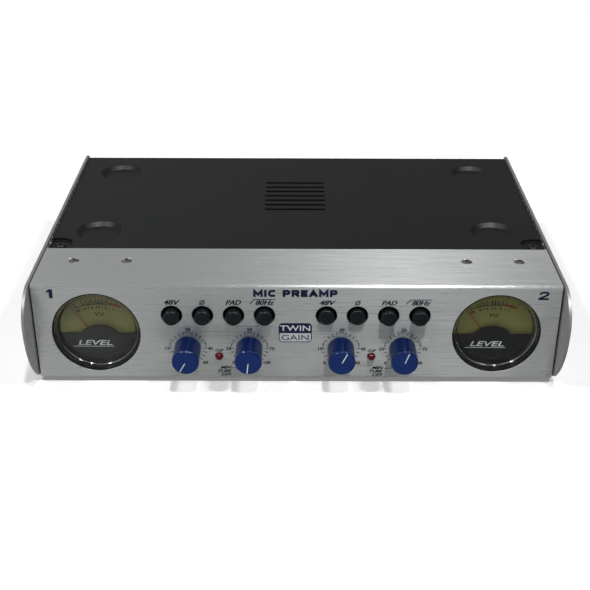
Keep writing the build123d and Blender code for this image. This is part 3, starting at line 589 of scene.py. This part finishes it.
def print_button_labels():
    """Words over the buttons, a crossed ring over phase, and the low cut's sloping line."""
    labels = Print("button_labels", PANEL)
    for channel in channels:
        for text, name, wide in (("48V", "phantom", 1.22), ("PAD", "pad", 1.05),
                                 ("80Hz", "low_cut", 1.12)):
            x = centre(f"button_{channel}_{name}").x / MM
            labels.words(text, x - 0.25, LABEL_Z, height=2.05, wide=wide, weight=INK_SPREAD,
                         slant=LABEL_LEAN, bold=0.16)
        x = centre(f"button_{channel}_phase").x / MM
        labels.arc((x, LABEL_Z), radius=0.85, start=0, end=350, width=0.42, steps=24)
        labels.line([(x - 1.1, LABEL_Z - 1.15), (x + 1.1, LABEL_Z + 1.15)], width=0.34)
        x = centre(f"button_{channel}_low_cut").x / MM
        labels.line([(x - 5.8, 37.4), (x - 4.1, 39.45), (x + 4.5, 39.45)], width=0.36)
    labels.place(NAVY)


def print_knob_scale(name, numbers):
    """Ticks round a knob, short arcs at the quarters, and a number at each end and quarter."""
    at = knob_at[name] / MM
    middle = (at.x + 0.1, at.z - 0.3)
    scale = Print(f"{name}_scale", PANEL)
    for angle in range(-KNOB_SWEEP, KNOB_SWEEP + 1, KNOB_STEP):
        if angle % KNOB_QUARTER:
            scale.tick(middle, angle, *KNOB_TICK, width=0.32)
    for angle in (-KNOB_QUARTER, 0, KNOB_QUARTER):
        scale.arc(middle, KNOB_ARC, angle - KNOB_ARC_REACH, angle + KNOB_ARC_REACH, width=0.34,
                  steps=6)
    for angle in (-KNOB_SWEEP, KNOB_SWEEP):
        scale.tick(middle, angle, *KNOB_TICK, width=0.38)
    offsets = ((-6.6, -7.2), (-8.6, -0.5), (0.2, 8.5), (9.2, -0.5), (6.95, -7.2))
    for text, (u, v) in zip(numbers, offsets):
        scale.words(text, at.x + u, at.z + v, height=1.35, wide=1.1, weight=INK_SPREAD, bold=0.14)
    scale.place(NAVY)


def print_small_labels():
    """Words beside the lamps and the drive knobs, with the line to the knob's off position."""
    labels = Print("small_labels", PANEL)
    for channel in channels:
        labels.words("CLIP", light_x[channel] / MM - 0.1, light_z / MM + 2.8, height=1.15,
                     weight=INK_SPREAD, slant=SMALL_LEAN, bold=0.1)
        drive = knob_at[f"drive_{channel}"] / MM
        words_end = drive.x - 7.9
        for text, z in (("MIN", 7.45), ("TUBE", 5.75), ("OFF", 4.0)):
            labels.words(text, words_end, z, height=1.35, wide=1.2, weight=INK_SPREAD,
                         slant=SMALL_LEAN, align="RIGHT", bold=0.14)
        corner = drive.x - 4.1
        labels.line([(words_end + 0.5, 7.2), (corner, 7.2), (corner, 8.6)], width=0.26)
    labels.place(NAVY)


def rounded(u, v, radius, corners):
    """Outline of a rectangle between the pairs u and v, anticlockwise from its lower right.

    corners says which of the four are rounded.
    """
    points = []
    places = ((1, 0), (1, 1), (0, 1), (0, 0))
    for index, (i, j) in enumerate(places):
        if not corners[index]:
            points.append((u[i], v[j]))
            continue
        cu = u[i] + (radius if i == 0 else -radius)
        cv = v[j] + (radius if j == 0 else -radius)
        for step in range(7):
            turn = math.radians(-90 + 90 * index + 15 * step)
            points.append((cu + radius * math.cos(turn), cv + radius * math.sin(turn)))
    return points


def print_badge():
    """Two-tone plate between the channels: navy above, silver below, in a navy frame."""
    left, right = -7.2, 6.3
    low, middle, high = 19.65, 23.9, 28.6
    border = 0.35
    outer_round, inner_round = 1.6, 1.3
    words_at, words_height = -0.4, 2.5
    frame_plate = Print("badge_frame", PANEL, high=0.03)
    frame_plate.shape(rounded((left, right), (low, high), outer_round, (True,) * 4))
    frame_plate.place(NAVY)
    lower = Print("badge_lower", PANEL, low=0.02, high=0.05)
    lower.shape(rounded((left + border, right - border), (low + border, middle), inner_round,
                        (True, False, False, True)))
    lower.place(BADGE_SILVER)
    light = Print("badge_light_words", PANEL, low=0.02, high=0.05)
    light.words("TWIN", words_at, (middle + high) / 2, words_height, wide=1.3, weight=0.004)
    light.place(WHITE)
    dark = Print("badge_dark_words", PANEL, low=0.04, high=0.07)
    dark.words("GAIN", words_at, (low + middle) / 2 + 0.1, words_height, wide=1.3)
    dark.place(NAVY)


# ---- Meters -------------------------------------------------------------------
# Millimetres from the meter's centre, and degrees clockwise from straight up.
NEEDLE_PIVOT = -9.2
NEEDLE_REST = -35.7
SCALE_SPAN = 65.0           # needle swing from rest to the end of the scale
SCALE_CENTRE = -16.6        # middle of the printed arc, lower down than the needle's pivot
SCALE_RADIUS = 24.8
LEVELS = (-20, -10, -7, -5, -3, -2, -1, 0, 1, 2, 3)     # decibels
LEVEL_TICK = 2.2            # length of the tick at a level
HALF_TICK = 1.5             # length of the tick between two levels
NUMBER_DROP = 1.5           # from the arc down to the middle of a number


def needle_direction(level):
    """Direction of the needle for a level in decibels, in radians from straight up."""
    share = 10 ** ((level - LEVELS[-1]) / 20)
    return math.radians(NEEDLE_REST + SCALE_SPAN * share)


def on_scale(level):
    """Where the needle's line crosses the flatter printed arc, and the needle's way there."""
    turn = needle_direction(level)
    way = Vector((math.sin(turn), math.cos(turn)))
    foot = Vector((0.0, NEEDLE_PIVOT - SCALE_CENTRE))
    along = foot.dot(way)
    reach = -along + math.sqrt(along**2 - foot.length_squared + SCALE_RADIUS**2)
    return Vector((0.0, NEEDLE_PIVOT)) + way * reach, way


def print_meter(channel, side):
    """The dial's scale in black and red, and a generic word on the black shroud."""
    plane = Matrix.Translation((side * meter_x, 0, meter_z)) @ facing_front(dial_face)
    black = Print(f"meter_{channel}_scale", plane)
    red = Print(f"meter_{channel}_red_zone", plane)
    zero = on_scale(0)[0]
    low, high = on_scale(LEVELS[0])[0], on_scale(LEVELS[-1])[0]

    def swing(point):
        return math.degrees(math.atan2(point.x, point.y - SCALE_CENTRE))

    middle = (0.0, SCALE_CENTRE)
    black.arc(middle, SCALE_RADIUS, swing(low) - 0.5, swing(zero), width=0.38, steps=24)
    red.arc(middle, SCALE_RADIUS + 0.4, swing(zero) + 0.8, swing(high) + 0.6, width=1.0)
    for level in LEVELS:
        point, way = on_scale(level)
        sheet = red if level > 0 else black
        sheet.line([point, point + way * LEVEL_TICK], width=0.4)
        if level < LEVELS[-1]:
            label = point - way * NUMBER_DROP
            sheet.words(str(abs(level)), label.x, label.y, height=1.15, weight=0.03)
    for first, second in zip(LEVELS[1:], LEVELS[2:LEVELS.index(0) + 1]):
        point, way = on_scale((first + second) / 2)
        black.line([point, point + way * HALF_TICK], width=0.3)
    black.strokes("VU", u=-1.9, v=2.7, height=1.7, width=1.7, weight=0.36, gap=0.3)
    black.place(SCALE_BLACK)
    red.place(SCALE_RED)
    plane = Matrix.Translation((side * meter_x, 0, meter_z)) @ facing_front(shroud_face)
    word = Print(f"meter_{channel}_word", plane)
    word.words("LEVEL", u=-2.4, v=-8.4, height=2.3, wide=1.65, weight=0.012, slant=0.25)
    word.line([(-11.4, -10.2), (5.6, -10.2)], width=0.22)
    word.place(WHITE)


# ---- Knob pointers and rims ---------------------------------------------------
# Outlines here are pairs: the distance from the knob's axis and the depth behind its face.
flat_end = knob_radius / MM - KNOB_RIM


def on_knob(name, angle=0.0):
    """From millimetres round the middle of a knob's face, turned clockwise, to the frame."""
    at = knob_at[name]
    return (Matrix.Translation((at.x, knob_face, at.z))
            @ Matrix.Rotation(math.radians(angle), 4, "Y") @ Matrix.Scale(MM, 4))


def make_pointer(name, angle):
    """White inlay in the knob's groove, following the rounded rim."""
    half_width, start = 0.2, 0.25
    top, floor = 0.04, 0.24
    outline = [(start, floor), (start, top), (flat_end, top)]
    for turn in (15, 25, 35, 42):
        a = math.radians(turn)
        outline.append((flat_end + KNOB_RIM * math.sin(a),
                        KNOB_RIM - (KNOB_RIM - top) * math.cos(a)))
    mesh = bmesh.new()
    left, right = [[mesh.verts.new((u, depth, reach)) for reach, depth in outline]
                   for u in (-half_width, half_width)]
    mesh.faces.new(left)
    mesh.faces.new(right[::-1])
    bridge(mesh, left, right)
    add_piece(f"{name}_pointer", mesh, WHITE, f"{name}_control", on_knob(name, angle))


def make_polished_rim(name):
    """Polished band on the rounded rim of a knob, outside the flat of its face."""
    raised, sunk = 0.015, 0.06
    facets = 96
    turns = [math.radians(26 + 6 * step) for step in range(11)]
    outer, inner = KNOB_RIM + raised, KNOB_RIM - sunk
    section = [(flat_end + outer * math.sin(a), KNOB_RIM - outer * math.cos(a)) for a in turns]
    section += [(flat_end + inner * math.sin(a), KNOB_RIM - inner * math.cos(a))
                for a in reversed(turns)]
    mesh = bmesh.new()
    rows = []
    for step in range(facets):
        turn = math.tau * step / facets
        rows.append([mesh.verts.new((reach * math.sin(turn), depth, reach * math.cos(turn)))
                     for reach, depth in section])
    for before, after in zip(rows[-1:] + rows, rows):
        bridge(mesh, before, after)
    add_piece(f"{name}_rim", mesh, POLISH, f"{name}_control", on_knob(name), smooth=True)


# ---- Rear lettering -----------------------------------------------------------
def print_rear():
    """White legends under the rear connectors, each with the connector's place along +X."""
    rear = Print("rear_labels", facing_back(rear_face))
    legend_z = 6.6
    for text, x in (("IN 1", 84.0), ("OUT 1", 54.0), ("LINE 1", 30.0), ("IN 2", 4.0),
                    ("OUT 2", -26.0), ("LINE 2", -50.0), ("POWER", -73.0), ("DC IN", -93.0)):
        rear.words(text, -x, legend_z, height=1.9, wide=1.2, weight=0.01)
    rear.place(WHITE)


# Numbers on a knob's scale, and where each pointer rests, in degrees clockwise from straight up.
KNOB_NUMBERS = {"gain": ("0", "15", "30", "45", "60"), "drive": ("0", "25", "50", "75", "100")}
POINTER_REST = {"gain_1": -150.0, "drive_1": -173.0, "gain_2": 27.0, "drive_2": 20.0}

print_title()
print_channel_numbers()
print_button_labels()
for knob in knob_names:
    print_knob_scale(knob, KNOB_NUMBERS[knob.split("_")[0]])
print_small_labels()
print_badge()
for number, panel_side in channels.items():
    print_meter(number, panel_side)
for knob in knob_names:
    make_pointer(knob, POINTER_REST[knob])
    make_polished_rim(knob)
print_rear()


# ---- Stage --------------------------------------------------------------------
FLOOR_REACH = 4.0           # from the middle of the floor to its sides
LAMP_TARGET = (0.0, -0.03, 0.02)
CAMERA_PLACE = (-0.00033, -0.44407, 0.2459)
CAMERA_DIP = 28.46          # degrees below the horizon
CAMERA_SWING = 0.041        # degrees about the vertical
CAMERA_ROLL = 0.167         # degrees about the line of sight
FOCAL_LENGTH = 65.58        # millimetres, like the sensor's width
SENSOR_WIDTH = 36.0


def make_floor():
    """Flat pale sheet on the ground, which glows faintly and is left out of reflections."""
    mesh = bmesh.new()
    bmesh.ops.create_grid(mesh, x_segments=4, y_segments=4, size=FLOOR_REACH)
    data = bpy.data.meshes.new("floor")
    mesh.to_mesh(data)
    mesh.free()
    paper = Finish("floor_paper", Roughness=0.9, Specular_IOR_Level=0.1,
                   Emission_Color=(1.0, 1.0, 1.0), Emission_Strength=0.12)
    grain = paper.noise((14, 14, 14), 2.0)
    paper.colour(paper.blend(grain, (0.94, 0.94, 0.94), (0.96, 0.96, 0.96)))
    data.materials.append(paper.material)
    floor = bpy.data.objects.new("floor", data)
    floor.visible_glossy = False
    floor.visible_transmission = False
    bpy.context.scene.collection.objects.link(floor)


def make_lamp(name, at, size, power):
    """Oblong area lamp, aimed at the case."""
    lamp = bpy.data.lights.new(name, "AREA")
    lamp.shape = "RECTANGLE"
    lamp.size, lamp.size_y = size
    lamp.energy = power
    holder = bpy.data.objects.new(name, lamp)
    holder.location = at
    holder.rotation_mode = "QUATERNION"
    holder.rotation_quaternion = (Vector(LAMP_TARGET) - Vector(at)).to_track_quat("-Z", "Y")
    bpy.context.scene.collection.objects.link(holder)


def make_world():
    """Dim surroundings, brighter towards the left, and more so below the horizon."""
    world = bpy.data.worlds.new("studio")
    bpy.context.scene.world = world
    world.use_nodes = True
    tree = world.node_tree
    direction = tree.nodes.new("ShaderNodeTexCoord")
    parts = tree.nodes.new("ShaderNodeSeparateXYZ")
    tree.links.new(direction.outputs["Generated"], parts.inputs[0])
    below = mapped(tree, parts.outputs["X"], (-0.04, -0.24), (0.13, 0.38))
    above = mapped(tree, parts.outputs["X"], (0.1, -0.5), (0.065, 0.21))
    height = mapped(tree, parts.outputs["Z"], (-0.1, 0.1), (0.0, 1.0))
    strength = tree.nodes.new("ShaderNodeMix")
    for label, source in (("Factor", height), ("A", below), ("B", above)):
        tree.links.new(source, strength.inputs[label])
    sky = tree.nodes["Background"]
    sky.inputs["Color"].default_value = (0.97, 0.99, 1.0, 1.0)
    tree.links.new(strength.outputs["Result"], sky.inputs["Strength"])


def make_camera():
    """Camera in front and well above, looking down, with a short telephoto lens."""
    lens = bpy.data.cameras.new("camera")
    lens.lens = FOCAL_LENGTH
    lens.sensor_width = SENSOR_WIDTH
    lens.clip_start = 0.01
    camera = bpy.data.objects.new("camera", lens)
    turn = (Matrix.Rotation(math.radians(CAMERA_SWING), 4, "Z")
            @ Matrix.Rotation(math.radians(90 - CAMERA_DIP), 4, "X")
            @ Matrix.Rotation(math.radians(CAMERA_ROLL), 4, "Z"))
    camera.matrix_world = Matrix.Translation(CAMERA_PLACE) @ turn
    bpy.context.scene.collection.objects.link(camera)
    bpy.context.scene.camera = camera


make_floor()
make_lamp("lamp_left", (-1.88, -1.18, 3.05), (0.16, 0.42), 54.0)
make_lamp("lamp_centre", (0.39, -1.18, 3.33), (0.14, 0.42), 52.0)
make_lamp("lamp_right", (1.95, -1.18, 3.05), (0.16, 0.42), 54.0)
make_lamp("lamp_back", (0.0, 2.4, 1.35), (4.0, 1.6), 2.6)
make_world()
make_camera()
bpy.context.scene.view_settings.view_transform = "Standard"
